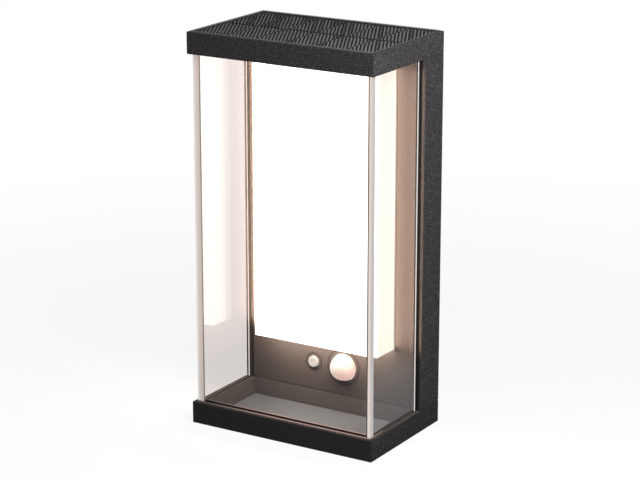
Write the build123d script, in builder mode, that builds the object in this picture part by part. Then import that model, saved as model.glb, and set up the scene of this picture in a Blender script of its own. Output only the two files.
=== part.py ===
"""Solar wall light: a clear lantern box on a slim rear housing, with a solar panel in its cap.

The frame is +X to the right and +Z up, and +Y points into the wall. The origin is on the wall plane,
at the centre of the wall bracket's fixing holes. All sizes are in millimetres.
"""

import os

from build123d import *

os.makedirs("parts", exist_ok=True)

# Envelope
width = 125.0
depth = 80.0
height = 240.0
edge_round = 0.6

# Solar panel, set into the cap over a wiring space
cap_floor = 5.0
wiring_height = 5.0
panel_rim = 1.5
panel_gap = 0.5
panel_proud = 0.8
panel_bevel = 0.4
panel_ledge = 2.5
tape_thickness = 0.4
backing_thickness = 1.6
glazing_thickness = 2.0
cell_sheet = 0.3
cell_columns = 6
cell_rows = 2
cell_margin = 0.8
cell_gap = 0.5
cell_row_gap = 2.0
terminal_size = 12.0
terminal_height = 3.0
terminal_run = 18.0

# Base tray with its translucent floor window
base_height = 13.5
rib_wall = 1.6
window_seat = 1.0
window_thickness = 1.6
window_ledge = 3.0
window_gap = 0.4
base_deck = 5.5
pocket_wall = 3.0
pocket_count = 3

# Rear housing walls
face_wall = 1.8
housing_rim = 1.8
ledge = 2.2
housing_rib = 2.0

# Wall bracket and the studs that the lamp hangs on
bracket_width = 90.0
bracket_height = 44.0
bracket_thickness = 1.5
bracket_round = 4.0
bracket_gap = 1.5
fixing_pitch = 60.0
fixing_slot_width = 5.2
fixing_slot_length = 12.0
stud_pitch = 40.0
stud_drop = 12.0
stud_radius = 2.0
stud_head_radius = 3.5
stud_head_height = 1.5
stud_chamfer = 0.5
stud_play = 0.2
keyhole_drop = 9.0
keyhole_margin = 0.4

# Rear cover and its gasket, in a rebate behind the housing
cover_thickness = 1.8
cover_fit = 0.3
gasket_thickness = 1.0
gasket_side_gap = 0.3
cover_boss_side = 4.5
cover_boss_end = 22.0

# Clear shade, its channel gaskets and the seals behind its side walls
shade_inset = 2.5
shade_wall = 3.0
shade_corner = 0.4
shade_inner_corner = 0.4
groove_depth = 3.5
seal_wall = 0.6
side_seal = 2.0

# Diffuser box and its lamp board
diffuser_depth = 19.0
diffuser_wall = 2.0
diffuser_side_gap = 15.0
diffuser_top_gap = 6.0
diffuser_sill = 35.0
diffuser_round = 0.5
hook_width = 8.0
hook_thickness = 1.4
hook_barb = 0.9
hook_length = 1.6
hook_fit = 0.3
hook_inset = 26.0
led_margin = 8.0
led_board_thickness = 1.6
led_columns = 3
led_rows = 8
led_width = 3.5
led_length = 2.8
led_height = 0.8
led_socket_width = 8.0
led_socket_height = 3.6
led_socket_length = 6.0
led_hole_drop = 4.0

# Motion sensor and mode button, side by side below the diffuser
dome_x = 9.3
dome_sill = 3.6
dome_radius = 8.3
dome_collar = 0.8
dome_step = 0.5
dome_wall = 0.9
dome_flange = 2.0
dome_flange_thickness = 1.2
dome_fit = 0.5
button_x = -11.7
button_radius = 3.3
button_stand = 1.6
button_round = 0.6
button_dish_radius = 2.0
button_dish_depth = 0.3
button_flange = 1.4
button_flange_thickness = 0.8
button_fit = 0.4
button_travel = 0.8
press_gap = 0.4
can_radius = 4.1
can_height = 4.6
can_rim = 0.5
can_rim_thickness = 0.6
can_round = 0.5
can_window = 3.4
can_window_depth = 0.2
switch_size = 6.0
plunger_radius = 1.7
plunger_depth = 1.0
plunger_fit = 0.1
plunger_end_gap = 0.6

# Control board
board_width = 68.0
board_height = 22.0
board_thickness = 1.6
board_standoff = 5.7
board_edge_gap = 1.0
board_screw_inset = 3.5
socket_width = 8.0
socket_depth = 5.0
socket_height = 6.0
socket_screw_gap = 5.75
chip_size = 5.0
chip_height = 1.5
coil_radius = 3.2
coil_height = 3.4
component_pitch = 13.0
component_drop = 6.5

# Battery
battery_diameter = 14.2
battery_length = 50.0
battery_nub_radius = 2.75
battery_nub_height = 1.2
battery_clearance = 0.15
battery_cover_gap = 0.25
holder_wall = 1.4
holder_floor = 0.8
holder_side_height = 9.0
holder_gap = 4.0
contact_space = 4.0
contact_thickness = 0.4
contact_width = 8.0
contact_foot = 1.0
contact_pad = 2.4

# Screws, all with the same shank and pan head
screw_radius = 1.45
screw_head_radius = 2.75
screw_head_height = 1.4
screw_head_round = 0.7
screw_recess_length = 3.3
screw_recess_width = 0.8
screw_recess_depth = 0.8
screw_fit = 0.05
screw_bite = 10.0
screw_end_gap = 1.5
boss_radius = 3.5
small_boss_radius = 3.0
small_boss_length = 5.0
small_bite = 4.5

# Two-core leads inside the lamp
lead_radius = 1.1
lead_fit = 0.15
lead_side_gap = 4.5
lead_drop = 20.0
lead_bend = 25.0
lead_corner = 5.0
grommet_wall = 1.6
grommet_flange = 1.6
grommet_flange_thickness = 1.0
grommet_screw_gap = 1.95

# Distances from the wall, worked out from what the housing has to hold
cover_setback = bracket_thickness + bracket_gap
cover_front = cover_setback + cover_thickness
ledge_plane = cover_front + gasket_thickness
battery_axis = cover_front + battery_cover_gap + battery_diameter / 2
inner_face = battery_axis + battery_diameter / 2 + battery_clearance + holder_floor
housing_depth = inner_face + face_wall
face_y = -housing_depth
mid_y = -depth / 2
screw_row_y = -housing_depth / 2
stud_front = cover_front + stud_play

# Levels of the cap, the housing and the base
half_width = width / 2
panel_thickness = backing_thickness + glazing_thickness
panel_seat_depth = panel_thickness + tape_thickness - panel_proud
cap_height = cap_floor + wiring_height + panel_seat_depth
cap_top = height / 2 - panel_proud
cap_under = cap_top - cap_height
pocket_floor = cap_under + cap_floor
panel_seat = cap_top - panel_seat_depth
panel_back = panel_seat + tape_thickness
cell_level = panel_back + backing_thickness
base_under = -height / 2
base_top = base_under + base_height
base_pocket_top = base_top - base_deck
recess_floor = base_under + window_seat
housing_height = cap_under - base_top
housing_mid = (cap_under + base_top) / 2
housing_wall = housing_rim + ledge
cavity_width = width - 2 * housing_wall
cavity_height = housing_height - 2 * housing_wall
cavity_top = cap_under - housing_wall
cavity_bottom = base_top + housing_wall

# Plan sizes of the solar panel, the shade and the base's recess
panel_width = width - 2 * (panel_rim + panel_gap)
panel_depth = depth - 2 * (panel_rim + panel_gap)
pocket_width = width - 2 * (panel_rim + panel_ledge)
pocket_depth = depth - 2 * (panel_rim + panel_ledge)
cell_width = (panel_width - 2 * cell_margin - (cell_columns - 1) * cell_gap) / cell_columns
cell_depth = (panel_depth - 2 * cell_margin - (cell_rows - 1) * cell_row_gap) / cell_rows
shade_half = half_width - shade_inset
shade_front = -(depth - shade_inset)
shade_rear = face_y - side_seal
shade_inner_half = shade_half - shade_wall
shade_low = base_top - groove_depth + seal_wall
shade_high = cap_under + groove_depth - seal_wall
recess_half = shade_inner_half - seal_wall - rib_wall
recess_front = shade_front + shade_wall + seal_wall + rib_wall
recess_depth = face_y - recess_front
recess_mid = (face_y + recess_front) / 2
window_width = 2 * (recess_half - window_gap)
window_depth = recess_depth - 2 * window_gap
under_pocket_width = (width - (pocket_count + 1) * pocket_wall) / pocket_count

# Diffuser and lamp board
diffuser_width = 2 * (shade_inner_half - diffuser_side_gap)
diffuser_low = base_top + diffuser_sill
diffuser_high = cap_under - diffuser_top_gap
diffuser_height = diffuser_high - diffuser_low
diffuser_mid = (diffuser_low + diffuser_high) / 2
led_board_width = diffuser_width - 2 * (diffuser_wall + led_margin)
led_board_height = diffuser_height - 2 * (diffuser_wall + led_margin)
led_board_front = housing_depth + led_board_thickness
led_board_low = diffuser_mid - led_board_height / 2
led_screw_x = led_board_width / 2 - small_boss_radius
led_screw_rise = led_board_height / 2 - small_boss_radius
led_pitch_x = led_board_width / (led_columns + 1)
led_pitch_z = (led_board_height - 4 * small_boss_radius) / led_rows
led_hole_z = led_board_low - led_hole_drop
hook_x = (diffuser_width - hook_thickness) / 2

# Sensor row and control board
screw_hole = screw_radius + screw_fit
sensor_z = cavity_bottom + dome_sill + dome_flange + dome_radius
dome_ball = dome_radius - dome_step
dome_hollow = dome_ball - dome_wall
dome_centre_y = face_y - dome_collar
board_front = inner_face - board_standoff
board_back = board_front - board_thickness
board_mid = cavity_bottom + board_edge_gap + board_height / 2
board_top = board_mid + board_height / 2
board_screw_x = board_width / 2 - board_screw_inset
board_screw_rise = board_height / 2 - board_screw_inset
button_back = inner_face - button_fit - button_flange_thickness
switch_front = button_back - button_travel - press_gap
switch_height = switch_front - board_front
socket_mid = board_back - socket_depth / 2
socket_z = board_top - socket_height / 2
socket_pitch = board_screw_x - screw_head_radius - socket_screw_gap - socket_width / 2
component_z = board_mid - component_drop

# Battery holder, lead and screw places
battery_pocket = battery_diameter + 2 * battery_clearance
battery_offset = (battery_pocket + holder_wall) / 2
holder_length = battery_length + 2 * (contact_space + holder_wall)
holder_height = 2 * battery_pocket + 3 * holder_wall
holder_top = diffuser_mid + led_screw_rise - small_boss_radius - holder_gap
holder_mid = holder_top - holder_height / 2
holder_low = holder_top - holder_height
holder_rim_y = -(inner_face - holder_floor - holder_side_height)
holder_floor_y = -(inner_face - holder_floor)
lead_x = holder_length / 2 + lead_side_gap + lead_radius
grommet_radius = lead_radius + grommet_wall
grommet_rim = grommet_radius + grommet_flange
end_screw_x = lead_x + grommet_rim + grommet_screw_gap + screw_head_radius
stud_z = bracket_height / 2 - stud_drop
cover_boss_x = cavity_width / 2 - cover_boss_side
cover_boss_rise = cavity_height / 2 - cover_boss_end

cover_boss_points = [
    (x, z)
    for x in (-cover_boss_x, cover_boss_x)
    for z in (housing_mid - cover_boss_rise, housing_mid, housing_mid + cover_boss_rise)
]
led_screw_points = [
    (x, z)
    for x in (-led_screw_x, led_screw_x)
    for z in (diffuser_mid - led_screw_rise, diffuser_mid + led_screw_rise)
]
board_screw_points = [
    (x, z)
    for x in (-board_screw_x, board_screw_x)
    for z in (board_mid - board_screw_rise, board_mid + board_screw_rise)
]
hook_points = [
    (x, z)
    for x in (-hook_x, hook_x)
    for z in (diffuser_low + hook_inset, diffuser_high - hook_inset)
]
cap_screw_points = [(x, screw_row_y) for x in (-end_screw_x, 0, end_screw_x)]
base_screw_points = [(x, screw_row_y) for x in (-end_screw_x, end_screw_x)]
stud_points = [(x, stud_z) for x in (-stud_pitch / 2, stud_pitch / 2)]
socket_points = [(x, socket_z) for x in (-socket_pitch, 0, socket_pitch)]
battery_points = [(-battery_axis, holder_mid + rise) for rise in (-battery_offset, battery_offset)]


def save(piece, name):
    """Labels a finished piece and writes it under its node's name."""
    piece.part.label = name
    export_step(piece.part, f"parts/{name}.step")


def front_plane(distance):
    """A plane parallel to the wall, that far in front of it, facing forward, with X and Z as its axes."""
    return Plane.XZ.offset(distance)


def shade_plan(clearance, rear_y):
    """Draws the shade's U-shaped plan, grown all round by a clearance and cut off square at rear_y."""
    overrun = 2 * shade_wall
    front_y = shade_front - clearance
    inner_y = shade_front + shade_wall + clearance
    outer_length = rear_y + overrun - front_y
    inner_length = rear_y + 2 * overrun - inner_y
    with Locations((0, front_y + outer_length / 2)):
        RectangleRounded(2 * (shade_half + clearance), outer_length, shade_corner + clearance)
    with Locations((0, inner_y + inner_length / 2)):
        RectangleRounded(
            2 * (shade_inner_half - clearance), inner_length, shade_inner_corner, mode=Mode.SUBTRACT
        )
    with Locations((0, rear_y + overrun)):
        Rectangle(2 * width, 2 * overrun, mode=Mode.SUBTRACT)


def cell_plan():
    """Draws the grid of solar cells in plan."""
    with Locations((0, mid_y)):
        with GridLocations(cell_width + cell_gap, cell_depth + cell_row_gap, cell_columns, cell_rows):
            Rectangle(cell_width, cell_depth)


def pan_screw(shank):
    """A pan-head screw that points down -Z from a head seated on the origin, with a cross recess."""
    with BuildPart() as screw:
        with BuildSketch(Plane.XY):
            Circle(screw_radius)
        extrude(amount=-shank)
        with BuildSketch(Plane.XY):
            Circle(screw_head_radius)
        extrude(amount=screw_head_height)
        fillet(screw.faces().sort_by(Axis.Z)[-1].edges(), screw_head_round)
        with BuildSketch(Plane.XY.offset(screw_head_height)):
            Rectangle(screw_recess_length, screw_recess_width)
            Rectangle(screw_recess_width, screw_recess_length)
        extrude(amount=-screw_recess_depth, mode=Mode.SUBTRACT)
    return screw.part


# Top cap: a tray that holds the solar panel, with the shade's groove in its underside
with BuildPart() as top_cap:
    with BuildSketch(Plane.XY.offset(cap_under)):
        with Locations((0, mid_y)):
            Rectangle(width, depth)
    extrude(amount=cap_height)
    fillet(top_cap.edges(), edge_round)
    with BuildSketch(Plane.XY.offset(cap_top)):
        with Locations((0, mid_y)):
            Rectangle(width - 2 * panel_rim, depth - 2 * panel_rim)
    extrude(amount=-panel_seat_depth, mode=Mode.SUBTRACT)
    with BuildSketch(Plane.XY.offset(panel_seat)):
        with Locations((0, mid_y)):
            Rectangle(pocket_width, pocket_depth)
    extrude(amount=-wiring_height, mode=Mode.SUBTRACT)
    with BuildSketch(Plane.XY.offset(cap_under)):
        shade_plan(seal_wall, face_y)
    extrude(amount=groove_depth, mode=Mode.SUBTRACT)
    with Locations(*[(x, y, pocket_floor) for x, y in cap_screw_points]):
        Hole(screw_hole, cap_floor)
    with Locations((lead_x, screw_row_y, pocket_floor)):
        Hole(grommet_radius + lead_fit, cap_floor)
save(top_cap, "top_cap")

# Solar panel: adhesive frame, backing board, cells in rows, clear cover and the lead's terminal
with BuildPart() as solar_panel_tape:
    with BuildSketch(Plane.XY.offset(panel_seat)):
        with Locations((0, mid_y)):
            Rectangle(panel_width, panel_depth)
            Rectangle(pocket_width, pocket_depth, mode=Mode.SUBTRACT)
    extrude(amount=tape_thickness)
save(solar_panel_tape, "solar_panel_tape")

with BuildPart() as solar_backing:
    with BuildSketch(Plane.XY.offset(panel_back)):
        with Locations((0, mid_y)):
            Rectangle(panel_width, panel_depth)
    extrude(amount=backing_thickness)
save(solar_backing, "solar_backing")

with BuildPart() as solar_cells:
    with BuildSketch(Plane.XY.offset(cell_level)):
        cell_plan()
    extrude(amount=cell_sheet)
save(solar_cells, "solar_cells")

with BuildPart() as solar_cover:
    with BuildSketch(Plane.XY.offset(cell_level)):
        with Locations((0, mid_y)):
            Rectangle(panel_width, panel_depth)
    extrude(amount=glazing_thickness)
    chamfer(solar_cover.faces().sort_by(Axis.Z)[-1].edges(), panel_bevel)
    with BuildSketch(Plane.XY.offset(cell_level)):
        cell_plan()
    extrude(amount=cell_sheet, mode=Mode.SUBTRACT)
save(solar_cover, "solar_cover")

terminal_front_y = screw_row_y - terminal_run
with BuildPart() as solar_terminal:
    with BuildSketch(Plane.XY.offset(panel_back)):
        with Locations((lead_x, terminal_front_y - terminal_size / 2)):
            RectangleRounded(terminal_size, terminal_size, edge_round)
    extrude(amount=-terminal_height)
save(solar_terminal, "solar_terminal")

# Base tray: a deep recess with a ledge for the window, the shade's groove and ribbed pockets underneath
with BuildPart() as base_tray:
    with BuildSketch(Plane.XY.offset(base_under)):
        with Locations((0, mid_y)):
            Rectangle(width, depth)
    extrude(amount=base_height)
    fillet(base_tray.edges(), edge_round)
    with BuildSketch(Plane.XY.offset(base_top)):
        with Locations((0, recess_mid)):
            Rectangle(2 * recess_half, recess_depth)
    extrude(amount=recess_floor - base_top, mode=Mode.SUBTRACT)
    with BuildSketch(Plane.XY.offset(base_top)):
        shade_plan(seal_wall, face_y)
    extrude(amount=-groove_depth, mode=Mode.SUBTRACT)
    with BuildSketch(Plane.XY.offset(recess_floor)):
        with Locations((0, recess_mid)):
            Rectangle(2 * (recess_half - window_ledge), recess_depth - 2 * window_ledge)
    extrude(amount=-window_seat, mode=Mode.SUBTRACT)
    with BuildSketch(Plane.XY.offset(base_under)):
        with Locations((0, screw_row_y)):
            with GridLocations(under_pocket_width + pocket_wall, housing_depth, pocket_count, 1):
                RectangleRounded(under_pocket_width, housing_depth - 2 * pocket_wall, pocket_wall)
    extrude(amount=base_pocket_top - base_under, mode=Mode.SUBTRACT)
    with Locations(*[(x, y, base_top) for x, y in base_screw_points]):
        Hole(screw_hole, base_deck)
save(base_tray, "base_tray")

with BuildPart() as floor_window:
    with BuildSketch(Plane.XY.offset(recess_floor)):
        with Locations((0, recess_mid)):
            Rectangle(window_width, window_depth)
    extrude(amount=window_thickness)
save(floor_window, "floor_window")

# Rear housing: a shell open at the back, whose front wall carries the diffuser, the sensor and the boards
with BuildPart() as rear_housing:
    with BuildSketch(front_plane(0)):
        with Locations((0, housing_mid)):
            Rectangle(width, housing_height)
    extrude(amount=housing_depth)
    fillet(rear_housing.edges(), edge_round)
    # Rebate for the rear cover, then the cavity in front of its ledge
    with BuildSketch(front_plane(0)):
        with Locations((0, housing_mid)):
            Rectangle(width - 2 * housing_rim, housing_height - 2 * housing_rim)
    extrude(amount=ledge_plane, mode=Mode.SUBTRACT)
    with BuildSketch(front_plane(ledge_plane)):
        with Locations((0, housing_mid)):
            Rectangle(cavity_width, cavity_height)
    extrude(amount=inner_face - ledge_plane, mode=Mode.SUBTRACT)
    # Bosses for the rear cover, each tied to the side wall by a rib
    with BuildSketch(front_plane(inner_face)):
        with Locations(*cover_boss_points):
            Circle(boss_radius)
    extrude(amount=cover_front - inner_face)
    with BuildSketch(front_plane(inner_face)):
        for x, z in cover_boss_points:
            rib_x = (abs(x) + cavity_width / 2) / 2
            with Locations((rib_x if x > 0 else -rib_x, z)):
                Rectangle(cover_boss_side, housing_rib)
    extrude(amount=ledge_plane - inner_face)
    # Bosses for the lamp board and the control board
    with BuildSketch(front_plane(inner_face)):
        with Locations(*led_screw_points):
            Circle(small_boss_radius)
    extrude(amount=-small_boss_length)
    with BuildSketch(front_plane(inner_face)):
        with Locations(*board_screw_points):
            Circle(small_boss_radius)
    extrude(amount=-board_standoff)
    # Bosses for the cap's and the base's screws, each tied to the front wall by a rib
    for level, points, reach in (
        (cavity_top, cap_screw_points, -screw_bite),
        (cavity_bottom, base_screw_points, screw_bite),
    ):
        with BuildSketch(Plane.XY.offset(level)):
            with Locations(*points):
                Circle(boss_radius)
            with Locations(*[(x, (y - inner_face) / 2) for x, y in points]):
                Rectangle(housing_rib, inner_face + screw_row_y)
        extrude(amount=reach)
    # Screw holes
    with BuildSketch(front_plane(cover_front)):
        with Locations(*cover_boss_points):
            Circle(screw_hole)
    extrude(amount=screw_bite, mode=Mode.SUBTRACT)
    with BuildSketch(front_plane(housing_depth)):
        with Locations(*led_screw_points):
            Circle(screw_hole)
    extrude(amount=-(face_wall + small_boss_length), mode=Mode.SUBTRACT)
    with BuildSketch(front_plane(board_front)):
        with Locations(*board_screw_points):
            Circle(screw_hole)
    extrude(amount=small_bite, mode=Mode.SUBTRACT)
    with BuildSketch(Plane.XY.offset(cap_under)):
        with Locations(*cap_screw_points):
            Circle(screw_hole)
    extrude(amount=-(screw_bite + screw_fit), mode=Mode.SUBTRACT)
    with BuildSketch(Plane.XY.offset(base_top)):
        with Locations(*base_screw_points):
            Circle(screw_hole)
    extrude(amount=screw_bite + screw_fit, mode=Mode.SUBTRACT)
    # Openings in the front wall, and the lead's hole in the top wall
    with BuildSketch(front_plane(housing_depth)):
        with Locations((dome_x, sensor_z)):
            Circle(dome_radius + dome_fit)
        with Locations((button_x, sensor_z)):
            Circle(button_radius + button_fit)
        with Locations((0, led_hole_z)):
            Circle(lead_radius + lead_fit)
        with Locations(*hook_points):
            Rectangle(hook_thickness + 2 * hook_fit, hook_width + 2 * hook_fit)
    extrude(amount=-face_wall, mode=Mode.SUBTRACT)
    with Locations((lead_x, screw_row_y, cap_under)):
        Hole(grommet_radius + lead_fit, housing_wall)
save(rear_housing, "rear_housing")

# Rear cover with keyholes, on a ring gasket
with BuildPart() as cover_gasket:
    with BuildSketch(front_plane(cover_front)):
        with Locations((0, housing_mid)):
            Rectangle(
                cavity_width + 2 * (ledge - gasket_side_gap),
                cavity_height + 2 * (ledge - gasket_side_gap),
            )
            Rectangle(cavity_width, cavity_height, mode=Mode.SUBTRACT)
    extrude(amount=gasket_thickness)
save(cover_gasket, "cover_gasket")

with BuildPart() as rear_cover:
    with BuildSketch(front_plane(cover_setback)):
        with Locations((0, housing_mid)):
            Rectangle(width - 2 * (housing_rim + cover_fit), housing_height - 2 * (housing_rim + cover_fit))
        with Locations(*cover_boss_points):
            Circle(screw_hole, mode=Mode.SUBTRACT)
        with Locations(*[(x, z - keyhole_drop) for x, z in stud_points]):
            Circle(stud_head_radius + keyhole_margin, mode=Mode.SUBTRACT)
        with Locations(*[(x, z - keyhole_drop / 2) for x, z in stud_points]):
            SlotCenterToCenter(
                keyhole_drop, 2 * (stud_radius + stud_play), rotation=90, mode=Mode.SUBTRACT
            )
    extrude(amount=cover_thickness)
save(rear_cover, "rear_cover")

# Wall bracket: slotted fixing holes and two riveted studs that hang the lamp by the cover's keyholes
with BuildPart() as wall_bracket:
    with BuildSketch(front_plane(0)):
        RectangleRounded(bracket_width, bracket_height, bracket_round)
        with Locations((-fixing_pitch / 2, 0), (fixing_pitch / 2, 0)):
            SlotOverall(fixing_slot_length, fixing_slot_width, mode=Mode.SUBTRACT)
    extrude(amount=bracket_thickness)
save(wall_bracket, "wall_bracket")

with BuildPart() as bracket_studs:
    with BuildSketch(front_plane(bracket_thickness)):
        with Locations(*stud_points):
            Circle(stud_radius)
    extrude(amount=stud_front - bracket_thickness)
    with BuildSketch(front_plane(stud_front)):
        with Locations(*stud_points):
            Circle(stud_head_radius)
    extrude(amount=stud_head_height)
    chamfer(bracket_studs.faces().group_by(Axis.Y)[0].edges(), stud_chamfer)
save(bracket_studs, "bracket_studs")

# Clear shade: one U-shaped moulding, held in channel gaskets in the cap and the base
with BuildPart() as clear_shade:
    with BuildSketch(Plane.XY.offset(shade_low)):
        shade_plan(0, shade_rear)
    extrude(amount=shade_high - shade_low)
save(clear_shade, "clear_shade")

with BuildPart() as shade_lower_gasket:
    with BuildSketch(Plane.XY.offset(base_top - groove_depth)):
        shade_plan(seal_wall, face_y)
    extrude(amount=groove_depth)
    with BuildSketch(Plane.XY.offset(shade_low)):
        shade_plan(0, shade_rear)
    extrude(amount=groove_depth, mode=Mode.SUBTRACT)
save(shade_lower_gasket, "shade_lower_gasket")

with BuildPart() as shade_upper_gasket:
    with BuildSketch(Plane.XY.offset(cap_under)):
        shade_plan(seal_wall, face_y)
    extrude(amount=groove_depth)
    with BuildSketch(Plane.XY.offset(shade_high)):
        shade_plan(0, shade_rear)
    extrude(amount=-groove_depth, mode=Mode.SUBTRACT)
save(shade_upper_gasket, "shade_upper_gasket")

with BuildPart() as shade_side_seals:
    with BuildSketch(Plane.XY.offset(base_top)):
        with Locations((0, face_y - side_seal / 2)):
            with GridLocations(2 * shade_half - shade_wall, side_seal, 2, 1):
                Rectangle(shade_wall, side_seal)
    extrude(amount=housing_height)
save(shade_side_seals, "shade_side_seals")

# Diffuser: an opal box over the lamp board, with snap hooks through the housing's front wall
with BuildPart() as diffuser:
    with BuildSketch(front_plane(housing_depth)):
        with Locations((0, diffuser_mid)):
            Rectangle(diffuser_width, diffuser_height)
    extrude(amount=diffuser_depth)
    fillet(diffuser.edges().filter_by(Axis.Y), diffuser_round)
    fillet(diffuser.faces().sort_by(Axis.Y)[0].edges(), diffuser_round)
    with BuildSketch(front_plane(housing_depth)):
        with Locations((0, diffuser_mid)):
            Rectangle(diffuser_width - 2 * diffuser_wall, diffuser_height - 2 * diffuser_wall)
    extrude(amount=diffuser_depth - diffuser_wall, mode=Mode.SUBTRACT)
    with BuildSketch(front_plane(housing_depth)):
        with Locations(*hook_points):
            Rectangle(hook_thickness, hook_width)
    extrude(amount=-(face_wall + hook_length))
    with BuildSketch(front_plane(inner_face)):
        with Locations(*[(x + hook_barb if x > 0 else x - hook_barb, z) for x, z in hook_points]):
            Rectangle(hook_thickness, hook_width)
    extrude(amount=-hook_length)
save(diffuser, "diffuser")

# Lamp board with its grid of LEDs and its socket
with BuildPart() as led_board:
    with BuildSketch(front_plane(housing_depth)):
        with Locations((0, diffuser_mid)):
            Rectangle(led_board_width, led_board_height)
        with Locations(*led_screw_points):
            Circle(screw_hole, mode=Mode.SUBTRACT)
    extrude(amount=led_board_thickness)
save(led_board, "led_board")

with BuildPart() as leds:
    with BuildSketch(front_plane(led_board_front)):
        with Locations((0, diffuser_mid)):
            with GridLocations(led_pitch_x, led_pitch_z, led_columns, led_rows):
                Rectangle(led_width, led_length)
    extrude(amount=led_height)
save(leds, "leds")

with BuildPart() as led_socket:
    with BuildSketch(front_plane(led_board_front)):
        with Locations((0, led_board_low + led_socket_length / 2)):
            Rectangle(led_socket_width, led_socket_length)
    extrude(amount=led_socket_height)
save(led_socket, "led_socket")

# Motion sensor: a lens dome on a collar through the front wall, and the sensor can behind it
dome_axis = Axis((dome_x, 0, sensor_z), (0, 1, 0))
with BuildPart() as sensor_dome:
    with BuildSketch(front_plane(inner_face)):
        with Locations((dome_x, sensor_z)):
            Circle(dome_radius)
    extrude(amount=face_wall + dome_collar)
    with BuildSketch(Plane.XY.offset(sensor_z)):
        with BuildLine():
            Polyline(
                (dome_x, dome_centre_y - dome_ball),
                (dome_x, dome_centre_y),
                (dome_x + dome_ball, dome_centre_y),
            )
            CenterArc((dome_x, dome_centre_y), dome_ball, 270, 90)
        make_face()
    revolve(axis=dome_axis)
    with BuildSketch(front_plane(inner_face)):
        with Locations((dome_x, sensor_z)):
            Circle(dome_radius + dome_flange)
    extrude(amount=-dome_flange_thickness)
    # Hollow, from inside the dome back through the flange
    with BuildSketch(Plane.XY.offset(sensor_z)):
        with BuildLine():
            Polyline(
                (dome_x, dome_centre_y - dome_hollow),
                (dome_x, dome_flange_thickness - inner_face),
                (dome_x + dome_hollow, dome_flange_thickness - inner_face),
                (dome_x + dome_hollow, dome_centre_y),
            )
            CenterArc((dome_x, dome_centre_y), dome_hollow, 270, 90)
        make_face()
    revolve(axis=dome_axis, mode=Mode.SUBTRACT)
save(sensor_dome, "sensor_dome")

with BuildPart() as sensor_can:
    with BuildSketch(front_plane(board_front)):
        with Locations((dome_x, sensor_z)):
            Circle(can_radius)
    extrude(amount=can_height)
    fillet(sensor_can.faces().sort_by(Axis.Y)[0].edges(), can_round)
    with BuildSketch(front_plane(board_front)):
        with Locations((dome_x, sensor_z)):
            Circle(can_radius + can_rim)
    extrude(amount=can_rim_thickness)
    with BuildSketch(front_plane(board_front + can_height)):
        with Locations((dome_x, sensor_z)):
            Rectangle(can_window, can_window)
    extrude(amount=-can_window_depth, mode=Mode.SUBTRACT)
save(sensor_can, "sensor_can")

# Mode button: a dished cap with a retaining flange, its switch and the switch's plunger
with BuildPart() as mode_button:
    with BuildSketch(front_plane(button_back)):
        with Locations((button_x, sensor_z)):
            Circle(button_radius)
    extrude(amount=housing_depth + button_stand - button_back)
    fillet(mode_button.faces().sort_by(Axis.Y)[0].edges(), button_round)
    with BuildSketch(front_plane(button_back)):
        with Locations((button_x, sensor_z)):
            Circle(button_radius + button_flange)
    extrude(amount=button_flange_thickness)
    with BuildSketch(front_plane(housing_depth + button_stand)):
        with Locations((button_x, sensor_z)):
            Circle(button_dish_radius)
    extrude(amount=-button_dish_depth, mode=Mode.SUBTRACT)
save(mode_button, "mode_button")

with BuildPart() as switch_plunger:
    with BuildSketch(front_plane(button_back)):
        with Locations((button_x, sensor_z)):
            Circle(plunger_radius)
    extrude(amount=switch_front - plunger_depth - button_back)
save(switch_plunger, "switch_plunger")

with BuildPart() as mode_switch:
    with BuildSketch(front_plane(board_front)):
        with Locations((button_x, sensor_z)):
            Rectangle(switch_size, switch_size)
    extrude(amount=switch_height)
    with BuildSketch(front_plane(switch_front)):
        with Locations((button_x, sensor_z)):
            Circle(plunger_radius + plunger_fit)
    extrude(amount=-(plunger_depth + button_travel + plunger_end_gap), mode=Mode.SUBTRACT)
save(mode_switch, "mode_switch")

# Control board with its sockets and main components
with BuildPart() as control_board:
    with BuildSketch(front_plane(board_back)):
        with Locations((0, board_mid)):
            Rectangle(board_width, board_height)
        with Locations(*board_screw_points):
            Circle(screw_hole, mode=Mode.SUBTRACT)
    extrude(amount=board_thickness)
save(control_board, "control_board")

with BuildPart() as board_sockets:
    with BuildSketch(front_plane(board_back)):
        with Locations(*socket_points):
            Rectangle(socket_width, socket_height)
    extrude(amount=-socket_depth)
save(board_sockets, "board_sockets")

with BuildPart() as board_components:
    with BuildSketch(front_plane(board_back)):
        with Locations((-component_pitch, component_z), (0, component_z)):
            Rectangle(chip_size, chip_size)
    extrude(amount=-chip_height)
    with BuildSketch(front_plane(board_back)):
        with Locations((component_pitch, component_z)):
            Circle(coil_radius)
    extrude(amount=-coil_height)
save(board_components, "board_components")

# Battery: two cells side by side in a holder with leaf contacts
with BuildPart() as battery_holder:
    with BuildSketch(front_plane(inner_face)):
        with Locations((0, holder_mid)):
            Rectangle(holder_length, holder_height)
    extrude(amount=-(holder_floor + holder_side_height))
    with BuildSketch(front_plane(inner_face - holder_floor)):
        with Locations((0, holder_mid - battery_offset), (0, holder_mid + battery_offset)):
            Rectangle(holder_length - 2 * holder_wall, battery_pocket)
    extrude(amount=-holder_side_height, mode=Mode.SUBTRACT)
save(battery_holder, "battery_holder")

battery_body = battery_length - battery_nub_height
with BuildPart() as battery_cells:
    with BuildSketch(Plane.YZ.offset(-battery_length / 2)):
        with Locations(*battery_points):
            Circle(battery_diameter / 2)
    extrude(amount=battery_body)
    with BuildSketch(Plane.YZ.offset(battery_body - battery_length / 2)):
        with Locations(*battery_points):
            Circle(battery_nub_radius)
    extrude(amount=battery_nub_height)
save(battery_cells, "battery_cells")

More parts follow.
